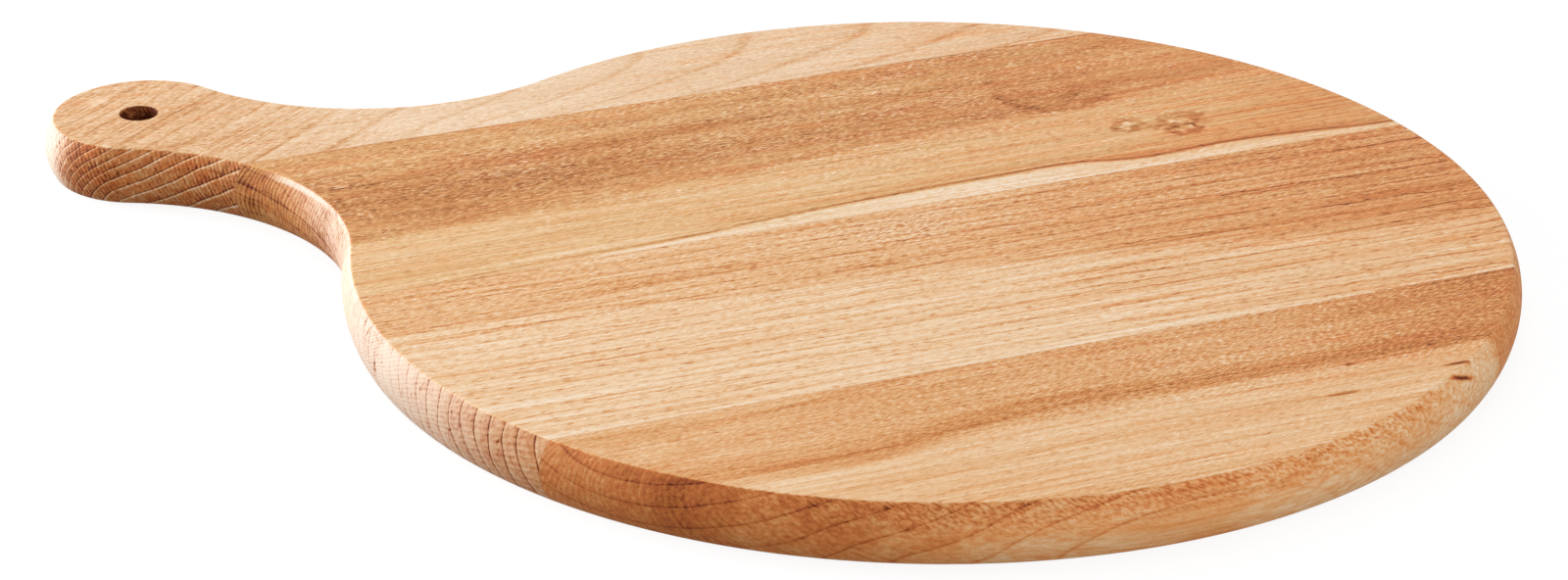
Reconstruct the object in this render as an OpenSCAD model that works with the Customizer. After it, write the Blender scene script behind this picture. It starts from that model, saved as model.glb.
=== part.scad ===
// Round pizza serving board with a waisted handle, glued up from four wide beech staves.
// The staves run at a slant to the handle, and the outline was cut from the glued panel.
// Origin: centre of the round part, on the underside. The handle points along -X, and +Z is up.

/* [Round part] */
// Diameter of the round part, over the bulge of its rim
board_d = 300; // [270:1:330]
// Thickness of the board
board_t = 16; // [12:0.5:22]
// How far the rim swells out past its top and bottom edges, half way down
rim_bulge = 2.5; // [1:0.1:3]

/* [Handle] */
// Length that the handle adds to the round part, up to its tip
handle_l = 103; // [85:0.5:140]
// Width of the handle at its narrowest place, over the bulge
neck_w = 44; // [36:0.5:52]
// How much wider the rounded head of the handle is than the neck
head_swell = 9; // [4:0.5:16]

/* [Hanging hole] */
// Diameter of the hole
hole_d = 10; // [6:0.5:16]
// Distance from the tip of the handle to the middle of the hole
hole_back = 25.5; // [18:0.5:30]
// Width and depth of the slant cut that eases each mouth of the hole
hole_ease = 0.5; // [0.2:0.1:1]

/* [Staves] */
// Angle between the grain and the handle
stave_angle = 42.7; // [38:0.1:50]
// How far the glued panel reached past the front of the round part before it was cut out
front_trim = 15; // [5:0.1:30]
// How far the glued panel reached past the head of the handle before it was cut out
back_trim = 21.6; // [5:0.1:40]
// Thickness of a glue line
glue_t = 0.1; // [0.05:0.01:0.2]

/* [Hidden] */

$fn = 144;

// How far a cut runs past the face that it opens
overrun = 0.5;
// How deep each hollow of the neck cuts into the round part and the head where it meets them
bite = 0.1;

board_r = board_d / 2;
head_r = (neck_w + head_swell) / 2;
// From the centre of the round part to the centre of the handle's head, and to the hole
head_reach = board_r + handle_l - head_r;
hole_reach = board_r + handle_l - hole_back;
// A length that no part of the board lies beyond
past_all = board_d + handle_l;

// The rim is one shallow arc from its top edge to its bottom edge
rim_arc_r = ((board_t / 2) ^ 2 + rim_bulge ^ 2) / (2 * rim_bulge);

// The hollow curve on each side of the neck runs from the round part to the head
touching_r = touching_radius(board_r, head_r, head_reach, neck_w / 2 + bite);
hollow_r = touching_r + bite;
hollow_y = neck_w / 2 + hollow_r;
hollow_x = -sqrt((board_r + touching_r) ^ 2 - hollow_y ^ 2);

// The panel was glued from equal staves. Distances square to the grain are counted from the
// centre of the round part, and the panel's front edge is on the minus side.
stave_count = 4;
panel_front = -board_r - front_trim;
panel_back = head_reach * sin(stave_angle) + head_r + back_trim;
stave_w = (panel_back - panel_front) / stave_count;

// Place of a glue joint, counted from the front edge of the panel
function joint_y(count) = panel_front + count * stave_w;

// Radius of a curve that touches two circles from outside and leaves half_w beside their line.
// Its centre is at half_w plus the radius from that line, so the two right triangles under it
// give the distance between the circles as a sum of two roots, which squares to this equation.
function touching_radius(r_1, r_2, apart, half_w) =
  let (
    fixed_1 = r_1 ^ 2 - half_w ^ 2,
    fixed_2 = r_2 ^ 2 - half_w ^ 2,
    rate_1 = 2 * (r_1 - half_w),
    rate_2 = 2 * (r_2 - half_w),
    rest = apart ^ 2 - fixed_1 - fixed_2,
    square_term = (rate_1 - rate_2) ^ 2,
    line_term = 2 * rest * (rate_1 + rate_2) + 4 * (fixed_1 * rate_2 + fixed_2 * rate_1),
    plain_term = rest ^ 2 - 4 * fixed_1 * fixed_2
  )
  (line_term - sqrt(line_term ^ 2 - 4 * square_term * plain_term)) / (2 * square_term);

// A round plate of radius r over its bulging rim
module round_plate(r) {
  rotate_extrude() {
    square([r - 2 * rim_bulge, board_t]);
    intersection() {
      square([r + overrun, board_t]);
      translate([r - rim_arc_r, board_t / 2])
        circle(rim_arc_r);
    }
  }
}

// The stock of the neck, between the centres of the round part, the head and the two hollows
module neck_stock() {
  linear_extrude(board_t)
    polygon([
      [0, 0],
      [hollow_x, hollow_y],
      [-head_reach, 0],
      [hollow_x, -hollow_y],
    ]);
}

// What is cut out beside the neck: a spool whose waist is the swelling rim of the neck
module hollow_cut() {
  rotate_extrude()
    difference() {
      translate([0, -overrun])
        square([hollow_r + rim_arc_r, board_t + 2 * overrun]);
      translate([hollow_r + rim_arc_r, board_t / 2])
        circle(rim_arc_r);
    }
}

// Hanging hole, with both mouths eased
module hole_cut() {
  mouth_r = hole_d / 2 + hole_ease + overrun;
  translate([-hole_reach, 0, 0])
    rotate_extrude()
      polygon([
        [0, -overrun],
        [mouth_r, -overrun],
        [hole_d / 2, hole_ease],
        [hole_d / 2, board_t - hole_ease],
        [mouth_r, board_t + overrun],
        [0, board_t + overrun],
      ]);
}

// The outline of the board, as it is cut from the glued panel
module whole_board() {
  difference() {
    union() {
      round_plate(board_r);
      translate([-head_reach, 0, 0])
        round_plate(head_r);
      neck_stock();
    }
    for (side = [-1, 1])
      translate([hollow_x, side * hollow_y, 0])
        hollow_cut();
    hole_cut();
  }
}

// The part of the board between two lines along the grain
module strip(low, high) {
  intersection() {
    whole_board();
    rotate([0, 0, stave_angle])
      translate([-past_all, low, -overrun])
        cube([2 * past_all, high - low, board_t + 2 * overrun]);
  }
}

// One stave, counted from the front, between the glue lines or edges at its two sides
module stave(count) {
  low = count == 1 ? -past_all : joint_y(count - 1) + glue_t / 2;
  high = count == stave_count ? past_all : joint_y(count) - glue_t / 2;
  strip(low, high);
}

module glue_line(count) {
  strip(joint_y(count) - glue_t / 2, joint_y(count) + glue_t / 2);
}

// The back stave, which also holds the head of the handle
module handle_stave() {
  color("#dfb68a")
    stave(4);
}

module inner_back_stave() {
  color("#c08a5c")
    stave(3);
}

module inner_front_stave() {
  color("#d9a06c")
    stave(2);
}

module front_stave() {
  color("#cc9160")
    stave(1);
}

module glue_line_back() {
  color("#a9784c")
    glue_line(3);
}

module glue_line_middle() {
  color("#a9784c")
    glue_line(2);
}

module glue_line_front() {
  color("#a9784c")
    glue_line(1);
}

handle_stave();
inner_back_stave();
inner_front_stave();
front_stave();
glue_line_back();
glue_line_middle();
glue_line_front();
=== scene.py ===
"""Looks of a round serving board with a waisted handle, edge-glued from four wide beech staves.

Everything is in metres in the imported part's frame: the origin is under the middle of the round
part, the handle points along -X, and +Z is up. The grain runs at a slant to the handle. Patterns
in the wood are set out in millimetres: u along the grain, v across it and z up from the underside.
"""

import logging
import math
from dataclasses import dataclass, field
from enum import Enum
from typing import Optional

import bpy
from mathutils import Matrix, Vector


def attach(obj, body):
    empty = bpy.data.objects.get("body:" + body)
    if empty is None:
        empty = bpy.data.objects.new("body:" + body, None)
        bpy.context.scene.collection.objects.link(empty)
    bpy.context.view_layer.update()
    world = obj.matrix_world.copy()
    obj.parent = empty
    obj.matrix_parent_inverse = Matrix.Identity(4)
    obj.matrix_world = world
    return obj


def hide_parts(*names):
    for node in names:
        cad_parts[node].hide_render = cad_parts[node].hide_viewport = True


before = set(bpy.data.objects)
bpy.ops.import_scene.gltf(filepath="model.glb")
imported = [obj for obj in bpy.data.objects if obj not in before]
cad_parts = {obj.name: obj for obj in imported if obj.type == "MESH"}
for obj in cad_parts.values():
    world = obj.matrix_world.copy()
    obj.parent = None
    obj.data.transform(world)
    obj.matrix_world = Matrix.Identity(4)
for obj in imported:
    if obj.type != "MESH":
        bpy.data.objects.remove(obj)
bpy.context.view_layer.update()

log = logging.getLogger("serving_board")

# Angle between the grain and the handle, in radians
GRAIN_ANGLE = math.radians(42.7)


def linear(code: str) -> tuple[float, float, float, float]:
    """Turns an sRGB hex colour into the linear colour that a shader takes.

    Args:
        code: colour such as "#e0b893".

    Returns:
        Red, green, blue and full alpha.
    """
    parts = [int(code[i : i + 2], 16) / 255 for i in (1, 3, 5)]
    low, high = 0.04045, 2.4
    red, green, blue = [c / 12.92 if c <= low else ((c + 0.055) / 1.055) ** high for c in parts]
    return red, green, blue, 1.0


@dataclass
class Sheet:
    """A node tree that is being written."""

    tree: bpy.types.NodeTree

    def add(self, kind: str, values: object = (), out: object = 0, **settings: object) -> object:
        """Adds one node with its settings, values and links.

        Args:
            kind: the node's type, where a shader node's type may leave out ShaderNode.
            values: numbers or sockets for its inputs, in order, or a dict by name or place. A tuple
                that holds sockets is joined into a vector, and a list of sockets goes into one
                input.
            out: name or place of the output to give back.
            settings: the node's own settings. stops are a ramp's (place, colour) pairs, and
                points are the places of a curve's handles.

        Returns:
            The output socket, or all output sockets where out is None.
        """
        socket_type = bpy.types.NodeSocket
        node = self.tree.nodes.new(kind if "Node" in kind else "ShaderNode" + kind)
        stops = settings.pop("stops", ())
        points = settings.pop("points", ())
        for name, value in settings.items():
            setattr(node, name, value)
        pairs = values.items() if isinstance(values, dict) else enumerate(values)
        for key, value in pairs:
            if isinstance(value, tuple) and any(isinstance(part, socket_type) for part in value):
                value = self.add("CombineXYZ", value)
            for source in value if isinstance(value, list) else [value]:
                if isinstance(source, socket_type):
                    self.tree.links.new(source, node.inputs[key])
                else:
                    node.inputs[key].default_value = source
        if stops:
            ramp = node.color_ramp
            while len(ramp.elements) < len(stops):
                ramp.elements.new(0.5)
            for element, (place, colour) in zip(ramp.elements, stops):
                element.position = place
                element.color = linear(colour)
        if points:
            curve = node.mapping.curves[0]
            while len(curve.points) < len(points):
                curve.points.new(0.5, 0.5)
            for point, place in zip(curve.points, points):
                point.location = place
            node.mapping.use_clip = False
            node.mapping.update()
        return node.outputs if out is None else node.outputs[out]


@dataclass(frozen=True)
class BoardShape:
    """Sizes of the whole board, as the part's source has them, and its outline."""

    board_r: float = 0.150
    thickness: float = 0.016
    rim_bulge: float = 0.0025
    handle_l: float = 0.103
    neck_half: float = 0.022
    head_r: float = 0.0265
    hole_r: float = 0.005
    hole_back: float = 0.0255
    hole_ease: float = 0.0005
    grain_angle: float = GRAIN_ANGLE
    front_trim: float = 0.015
    back_trim: float = 0.0216
    glue_t: float = 0.0001
    stave_count: int = 4
    # What sanding took off the sawn outline, and how far it rounded the edges of both faces
    sanded: float = 0.00002
    edge_ease: float = 0.0004

    @property
    def head_reach(self) -> float:
        """Distance from the middle of the round part to the middle of the handle's head."""
        return self.board_r + self.handle_l - self.head_r

    @property
    def hollow_r(self) -> float:
        """Works out the radius of the hollow beside the neck.

        Returns:
            The radius at which it touches both the round part and the head, found by halving.
        """
        low = self.neck_half
        high = 10 * self.board_r
        for _ in range(60):
            middle = (low + high) / 2
            y = self.neck_half + middle
            span = math.sqrt((self.board_r + middle) ** 2 - y**2)
            span += math.sqrt(max((self.head_r + middle) ** 2 - y**2, 0.0))
            low, high = (middle, high) if span < self.head_reach else (low, middle)
        return (low + high) / 2

    @property
    def hollow_y(self) -> float:
        """Distance of a hollow's middle from the handle's line."""
        return self.neck_half + self.hollow_r

    @property
    def hollow_x(self) -> float:
        """Place of a hollow's middle along the handle."""
        return -math.sqrt((self.board_r + self.hollow_r) ** 2 - self.hollow_y**2)

    @property
    def stave_w(self) -> float:
        """Width of one stave of the glued panel."""
        back = self.head_reach * math.sin(self.grain_angle) + self.head_r + self.back_trim
        return (back + self.board_r + self.front_trim) / self.stave_count

    def joint(self, count: int) -> float:
        """Place of a glue joint across the grain, counted from the panel's front edge."""
        return count * self.stave_w - self.board_r - self.front_trim

    def strip(self, count: int) -> tuple[float, float]:
        """Finds the edges of one stave across the grain.

        Args:
            count: the stave, counted from the front.

        Returns:
            Its low and its high edge.
        """
        past_all = 2 * self.board_r + self.handle_l
        low = -past_all if count == 1 else self.joint(count - 1) + self.glue_t / 2
        high = past_all if count == self.stave_count else self.joint(count) - self.glue_t / 2
        return low, high

    def film(self, count: int) -> tuple[float, float]:
        """Edges of one glue line across the grain."""
        return self.joint(count) - self.glue_t / 2, self.joint(count) + self.glue_t / 2


# Height of the top face, in millimetres as all patterns in the wood
TOP = 1000.0 * BoardShape.thickness


@dataclass
class StaveCutter:
    """Geometry Nodes tree that shapes the board and keeps one strip of it along the grain."""

    shape: BoardShape
    # Distance between points of the outline, and how many there are on each bend
    step: float = 0.00035
    hole_steps: int = 96
    bulge_steps: int = 46
    edge_steps: int = 5
    mouth_steps: int = 4
    # How far apart points may be that are joined: in the outline, in a section and in the board
    outline_weld: float = 5e-6
    section_weld: float = 2e-6
    board_weld: float = 1e-6
    # Height of the slab that a strip is cut with
    slab_h: float = 0.1
    sheet: Optional[Sheet] = None
    given: object = None
    sockets: dict[str, str] = field(default_factory=dict)

    def inputs(self) -> dict[str, float]:
        """Works out the sizes that the tree takes.

        Returns:
            Each size by its name. Strip Low and Strip High are set for each piece.
        """
        s = self.shape
        edge = s.rim_bulge + s.edge_ease + s.sanded
        to_round = math.atan2(-s.hollow_y, -s.hollow_x)
        to_head = math.atan2(-s.hollow_y, -s.head_reach - s.hollow_x)
        return {
            "Round Path Radius": s.board_r - edge,
            "Head Path Radius": s.head_r - edge,
            "Hollow Path Radius": s.hollow_r + edge,
            "Head Reach": s.head_reach,
            "Hollow X": s.hollow_x,
            "Hollow Y": s.hollow_y,
            "Round Turn": math.atan2(s.hollow_y, s.hollow_x),
            "Head Turn": math.pi - math.atan2(s.hollow_y, s.hollow_x + s.head_reach),
            "Hollow Start": to_head,
            "Hollow Sweep": to_round - to_head,
            "Thickness": s.thickness,
            "Rim Bulge": s.rim_bulge,
            "Edge Ease": s.edge_ease,
            "Hole Radius": s.hole_r,
            "Hole Ease": s.hole_ease,
            "Hole Reach": s.board_r + s.handle_l - s.hole_back,
            "Grain Angle": s.grain_angle,
            "Strip Low": 0.0,
            "Strip High": 0.0,
            "Past All": 2 * s.board_r + s.handle_l,
            "Step": self.step,
            "Torn Depth": 0.0003,
            "Torn Start": math.radians(-100.0),
            "Torn End": math.radians(-6.0),
            "Torn Lean": math.radians(30.0),
            "Torn Long": 0.0015,
            "Torn Wide": 0.0006,
            "Torn Seed": 7.0,
        }

    def build(self) -> None:
        """Writes the tree."""
        tree = bpy.data.node_groups.new("stave of the board", "GeometryNodeTree")
        face = tree.interface
        face.new_socket("Geometry", in_out="INPUT", socket_type="NodeSocketGeometry")
        for name, value in self.inputs().items():
            socket = face.new_socket(name, in_out="INPUT", socket_type="NodeSocketFloat")
            socket.default_value = value
            self.sockets[name] = socket.identifier
        wood = face.new_socket("Wood", in_out="INPUT", socket_type="NodeSocketMaterial")
        self.sockets["Wood"] = wood.identifier
        face.new_socket("Geometry", in_out="OUTPUT", socket_type="NodeSocketGeometry")
        self.sheet = Sheet(tree)
        add = self.sheet.add
        self.given = add("NodeGroupInput", out=None)
        path = self.outline()
        hole = self.ring()
        rim = self.sweep(path, self.rim_profile())
        bore = add("GeometryNodeFlipFaces", [self.sweep(hole, self.hole_profile())])
        joined = add("GeometryNodeJoinGeometry", [[self.faces(path, hole), rim, bore]])
        merged = {"Geometry": joined, "Distance": self.board_weld}
        cut = self.cut(self.torn_grain(add("GeometryNodeMergeByDistance", merged)))
        real = add("GeometryNodeRealizeInstances", [cut])
        done = add("GeometryNodeSetMaterial", {"Geometry": real, "Material": self.given["Wood"]})
        add("NodeGroupOutput", [done], out=None)

    def arc(self, radius: object, start: object, sweep: object) -> object:
        """Adds one arc about the origin, with points a step apart.

        Args:
            radius: its radius.
            start: angle of its first point.
            sweep: angle that it turns through.

        Returns:
            The arc as a curve.
        """
        add = self.sheet.add
        length = add("Math", [radius, sweep], operation="MULTIPLY")
        points = add("Math", [length, self.given["Step"]], operation="DIVIDE")
        count = add("Math", [points], operation="ABSOLUTE")
        sizes = {"Resolution": count, "Radius": radius, "Start Angle": start, "Sweep Angle": sweep}
        return add("GeometryNodeCurveArc", sizes, mode="RADIUS")

    def outline(self) -> object:
        """Joins the round part, the head and the two hollows.

        Returns:
            One closed curve, level with the underside.
        """
        add, given = self.sheet.add, self.given
        minus = add("Math", [given["Round Turn"], -1.0], operation="MULTIPLY")
        twice = add("Math", [given["Round Turn"], 2.0], operation="MULTIPLY")
        disc = self.arc(given["Round Path Radius"], minus, twice)
        start = add("Math", [math.pi, given["Head Turn"]], operation="SUBTRACT")
        twice = add("Math", [given["Head Turn"], 2.0], operation="MULTIPLY")
        head = self.arc(given["Head Path Radius"], start, twice)
        place = (add("Math", [given["Head Reach"], -1.0], operation="MULTIPLY"), 0.0, 0.0)
        head = add("GeometryNodeTransform", {"Geometry": head, "Translation": place})
        hollow = self.arc(given["Hollow Path Radius"], given["Hollow Start"], given["Hollow Sweep"])
        place = (given["Hollow X"], given["Hollow Y"], 0.0)
        back = add("GeometryNodeTransform", {"Geometry": hollow, "Translation": place})
        front = add("GeometryNodeTransform", {"Geometry": back, "Scale": (1.0, -1.0, 1.0)})
        return self.one_curve([disc, head, back, front], self.outline_weld)

    def ring(self) -> object:
        """Makes the closed curve where the hole's eased mouth meets a face of the board.

        Returns:
            The curve, level with the underside.
        """
        add, given = self.sheet.add, self.given
        mouth = add("Math", [given["Hole Radius"], given["Hole Ease"]], operation="ADD")
        sizes = {"Resolution": self.hole_steps, "Radius": mouth}
        circle = add("GeometryNodeCurvePrimitiveCircle", sizes)
        place = (add("Math", [given["Hole Reach"], -1.0], operation="MULTIPLY"), 0.0, 0.0)
        return add("GeometryNodeTransform", {"Geometry": circle, "Translation": place})

    def rim_profile(self) -> object:
        """Draws the section of the rim: an eased edge, one shallow arc and an eased edge.

        Returns:
            The section, with x outwards and y up from the underside.
        """
        add = self.sheet.add
        high, bulge, ease = (self.given[name] for name in ("Thickness", "Rim Bulge", "Edge Ease"))
        half = add("Math", [high, 0.5], operation="MULTIPLY")
        squared = add("Math", [half, half], operation="MULTIPLY")
        over = add("Math", [squared, bulge], operation="DIVIDE")
        twice = add("Math", [over, bulge], operation="ADD")
        arc_r = add("Math", [twice, 0.5], operation="MULTIPLY")
        low = add("Math", [half, ease], operation="SUBTRACT")
        low_2 = add("Math", [low, low], operation="MULTIPLY")
        arc_2 = add("Math", [arc_r, arc_r], operation="MULTIPLY")
        run_2 = add("Math", [arc_2, low_2], operation="SUBTRACT")
        run = add("Math", [run_2], operation="SQRT")
        inner = add("Math", [arc_r, bulge], operation="SUBTRACT")
        out = add("Math", [run, inner], operation="SUBTRACT")
        side = add("Math", [out, ease], operation="ADD")
        middle = (add("Math", [bulge, ease], operation="ADD"), half, 0.0)
        return self.section(self.edge_steps, ease, ease, side, middle)

    def hole_profile(self) -> object:
        """Draws the section of the hole's wall, with both mouths eased round.

        Returns:
            The section, with x outwards from the mouth and y up from the underside.
        """
        ease = self.given["Hole Ease"]
        x = self.sheet.add("Math", [ease, -1.0], operation="MULTIPLY")
        return self.section(self.mouth_steps, ease, x, x)

    def section(
        self, steps: int, ease: object, corner: object, side: object, middle: Optional[tuple] = None
    ) -> object:
        """Draws the section of a wall between the two faces, with both its edges eased.

        Args:
            steps: how many steps an eased edge has.
            ease: height of an eased edge.
            corner: x of the corner that is eased away.
            side: x of the wall where the eased edges end.
            middle: where the wall is half way down, if it isn't straight.

        Returns:
            The section as a curve, from the top down.
        """
        add, high = self.sheet.add, self.given["Thickness"]
        top = (side, add("Math", [high, ease], operation="SUBTRACT"), 0.0)
        low = (side, ease, 0.0)
        if middle is None:
            wall = add("GeometryNodeCurvePrimitiveLine", {"Start": top, "End": low})
        else:
            bulge = {"Resolution": self.bulge_steps, "Start": top, "Middle": middle, "End": low}
            wall = add("GeometryNodeCurveArc", bulge, mode="POINTS")
        edges = [
            {"Start": (0.0, high, 0.0), "Middle": (corner, high, 0.0), "End": top},
            {"Start": low, "Middle": (corner, 0.0, 0.0), "End": (0.0, 0.0, 0.0)},
        ]
        upper, lower = [
            add("GeometryNodeCurveQuadraticBezier", {"Resolution": steps, **edge}) for edge in edges
        ]
        return self.one_curve([upper, wall, lower], self.section_weld)

    def one_curve(self, parts: list[object], apart: float) -> object:
        """Joins curves that meet end to end.

        Args:
            parts: the curves.
            apart: how far two ends that meet may be from each other.

        Returns:
            One curve.
        """
        add = self.sheet.add
        edges = [add("GeometryNodeCurveToMesh", [part]) for part in parts]
        joined = add("GeometryNodeJoinGeometry", [edges])
        merged = add("GeometryNodeMergeByDistance", {"Geometry": joined, "Distance": apart})
        return add("GeometryNodeMeshToCurve", [merged])

    def lifted(self, shape: object) -> object:
        """Raises a shape from the underside to the top face."""
        up = {"Geometry": shape, "Translation": (0.0, 0.0, self.given["Thickness"])}
        return self.sheet.add("GeometryNodeTransform", up)

    def sweep(self, path: object, profile: object) -> object:
        """Sweeps a section along a level curve.

        Args:
            path: the curve.
            profile: the section, with its x outwards and its y down.

        Returns:
            The wall between the two faces.
        """
        add = self.sheet.add
        upright = add("GeometryNodeSetCurveNormal", {"Curve": path}, mode="Z_UP")
        curves = {"Curve": upright, "Profile Curve": profile}
        return self.lifted(add("GeometryNodeCurveToMesh", curves))

    def faces(self, path: object, hole: object) -> object:
        """Fills the top face and the underside.

        Args:
            path: the outline.
            hole: the ring of the hole's mouth.

        Returns:
            Both faces, the underside turned over.
        """
        add = self.sheet.add
        curves = add("GeometryNodeJoinGeometry", [[path, hole]])
        level = add("GeometryNodeFillCurve", {"Curve": curves}, mode="TRIANGLES")
        under = add("GeometryNodeFlipFaces", [level])
        return add("GeometryNodeJoinGeometry", [[self.lifted(level), under]])

    def torn_grain(self, board: object) -> object:
        """Presses small dimples into the rim where the cutter tore the end grain.

        Args:
            board: the closed board.

        Returns:
            The board with its dimples, which all lie inside its outline.
        """
        add, given = self.sheet.add, self.given
        # Where the dimples fade in: out from the path, up the rim, and along it from both ends
        flat_edge, full_edge = 0.0003, 0.0008
        low_share = 0.42
        start_fade, end_fade = 0.5, 0.3
        # Values of the noise between which a dimple deepens
        shallow, deepest = 0.46, 0.60
        x, y, z = add("SeparateXYZ", [add("GeometryNodeInputPosition")], out=None)
        turn = add("Math", [y, x], operation="ARCTAN2")
        flat = add("CombineXYZ", [x, y, 0.0])
        reach = add("VectorMath", [flat], operation="LENGTH", out="Value")
        inner, outer = [
            add("Math", [given["Round Path Radius"], past], operation="ADD")
            for past in (flat_edge, full_edge)
        ]
        middle = add("Math", [given["Thickness"], low_share], operation="MULTIPLY")
        start = add("Math", [given["Torn Start"], start_fade], operation="ADD")
        end = add("Math", [given["Torn End"], end_fade], operation="SUBTRACT")
        run = add("Math", [turn, reach], operation="MULTIPLY")
        turned = {"Vector": (run, z, given["Torn Seed"]), "Axis": (0.0, 0.0, 1.0)}
        turned["Angle"] = given["Torn Lean"]
        turned = add("VectorRotate", turned, rotation_type="AXIS_ANGLE")
        size = (given["Torn Long"], given["Torn Wide"], 1.0)
        scaled = add("VectorMath", [turned, size], operation="DIVIDE")
        share = add("TexNoise", {"Vector": scaled, "Scale": 1.0, "Detail": 1.0})
        share = add("MapRange", [share, shallow, deepest, 0.0, 1.0])
        masks = [
            [reach, inner, outer],
            [z, middle, given["Thickness"]],
            [turn, given["Torn Start"], start],
            [turn, given["Torn End"], end],
        ]
        for mask in masks:
            mask = add("MapRange", [*mask, 0.0, 1.0])
            share = add("Math", [share, mask], operation="MULTIPLY")
        kept = {"Geometry": board, "Name": "torn", "Value": share}
        board = add("GeometryNodeStoreNamedAttribute", kept, data_type="FLOAT", domain="POINT")
        out = add("VectorMath", [flat], operation="NORMALIZE")
        depth = add("Math", [share, given["Torn Depth"]], operation="MULTIPLY")
        back = add("Math", [depth, -1.0], operation="MULTIPLY")
        inwards = add("VectorMath", {0: out, "Scale": back}, operation="SCALE")
        return add("GeometryNodeSetPosition", {"Geometry": board, "Offset": inwards})

    def cut(self, board: object) -> object:
        """Keeps the strip between two lines along the grain, and shades its rim smooth.

        Args:
            board: the whole board.

        Returns:
            The strip, with flat faces and sharp cut edges.
        """
        add, given = self.sheet.add, self.given
        # A face whose normal is this far upright is flat, and an edge bent by more is sharp
        level_share, sharp_angle = 0.9999, 0.6
        width = add("Math", [given["Strip High"], given["Strip Low"]], operation="SUBTRACT")
        total = add("Math", [given["Strip High"], given["Strip Low"]], operation="ADD")
        across = add("Math", [total, 0.5], operation="MULTIPLY")
        long = add("Math", [given["Past All"], 2.0], operation="MULTIPLY")
        slab = add("GeometryNodeMeshCube", {"Size": (long, width, self.slab_h)})
        slab = add("GeometryNodeTransform", {"Geometry": slab, "Translation": (0.0, across, 0.0)})
        turn = (0.0, 0.0, given["Grain Angle"])
        slab = add("GeometryNodeTransform", {"Geometry": slab, "Rotation": turn})
        solver = {"operation": "INTERSECT", "solver": "MANIFOLD"}
        kept = add("GeometryNodeMeshBoolean", {1: [board, slab]}, **solver)
        smooth = add("GeometryNodeSetShadeSmooth", {"Geometry": kept, "Shade Smooth": True})
        up = add("SeparateXYZ", [add("GeometryNodeInputNormal")], out=2)
        steep = add("Math", [up], operation="ABSOLUTE")
        level = add("FunctionNodeCompare", {0: steep, 1: level_share}, operation="GREATER_THAN")
        flat = {"Geometry": smooth, "Selection": level, "Shade Smooth": False}
        planed = add("GeometryNodeSetShadeSmooth", flat)
        angle = add("GeometryNodeInputMeshEdgeAngle")
        sharp = add("FunctionNodeCompare", {0: angle, 1: sharp_angle}, operation="GREATER_THAN")
        crease = {"Geometry": planed, "Selection": sharp, "Shade Smooth": False}
        return add("GeometryNodeSetShadeSmooth", crease, domain="EDGE")

    def make(
        self, name: str, edges: tuple[float, float], wood: bpy.types.Material
    ) -> bpy.types.Object:
        """Cuts one piece out of the board.

        Args:
            name: name of the piece.
            edges: its low and its high edge across the grain.
            wood: its material.

        Returns:
            The piece, as a plain mesh with its place in it.
        """
        blank = bpy.data.objects.new(name + "_blank", bpy.data.meshes.new(name + "_blank"))
        bpy.context.scene.collection.objects.link(blank)
        tool = blank.modifiers.new("cut", "NODES")
        tool.node_group = self.sheet.tree
        values = {**self.inputs(), "Strip Low": edges[0], "Strip High": edges[1], "Wood": wood}
        for key, value in values.items():
            tool[self.sockets[key]] = value
        graph = bpy.context.evaluated_depsgraph_get()
        mesh = bpy.data.meshes.new_from_object(blank.evaluated_get(graph), depsgraph=graph)
        bpy.data.objects.remove(blank)
        mesh.name = name
        piece = bpy.data.objects.new(name, mesh)
        bpy.context.scene.collection.objects.link(piece)
        return piece


@dataclass(frozen=True)
class Camera:
    """The view of the board: a long lens, seen from the front right and above."""

    lens: float = 105.16
    azimuth: float = math.radians(21.01)
    elevation: float = math.radians(24.95)
    roll: float = math.radians(-0.15)
    target: tuple[float, float, float] = (-0.02288, -0.04457, 0.016)
    distance: float = 1.1389
    sensor_width: float = 36.0
    nearest: float = 0.05
    farthest: float = 20.0

    def build(self) -> None:
        """Makes the camera and gives it to the scene."""
        level = math.cos(self.elevation)
        back = Vector(
            (math.sin(self.azimuth) * level, -math.cos(self.azimuth) * level, math.sin(self.elevation))
        )
        side = Vector((math.cos(self.azimuth), math.sin(self.azimuth), 0.0))
        right = math.cos(self.roll) * side + math.sin(self.roll) * back.cross(side)
        up = back.cross(right)
        data = bpy.data.cameras.new("camera")
        data.lens = self.lens
        data.sensor_width = self.sensor_width
        data.dof.use_dof = False
        data.clip_start = self.nearest
        data.clip_end = self.farthest
        camera = bpy.data.objects.new("camera", data)
        bpy.context.scene.collection.objects.link(camera)
        turned = Matrix((right, up, back)).transposed().to_4x4()
        camera.matrix_world = Matrix.Translation(Vector(self.target) + back * self.distance) @ turned
        bpy.context.scene.camera = camera


@dataclass(frozen=True)
class Softbox:
    """A square soft lamp that faces the board: its place, the length of its sides and its watts."""

    name: str
    place: tuple[float, float, float]
    size: float
    power: float

    def build(self) -> None:
        """Hangs the lamp."""
        data = bpy.data.lights.new(self.name, "AREA")
        data.size = self.size
        data.energy = self.power
        lamp = bpy.data.objects.new(self.name, data)
        lamp.location = self.place
        lamp.rotation_euler = (-Vector(self.place)).to_track_quat("-Z", "Y").to_euler()
        bpy.context.scene.collection.objects.link(lamp)


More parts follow.
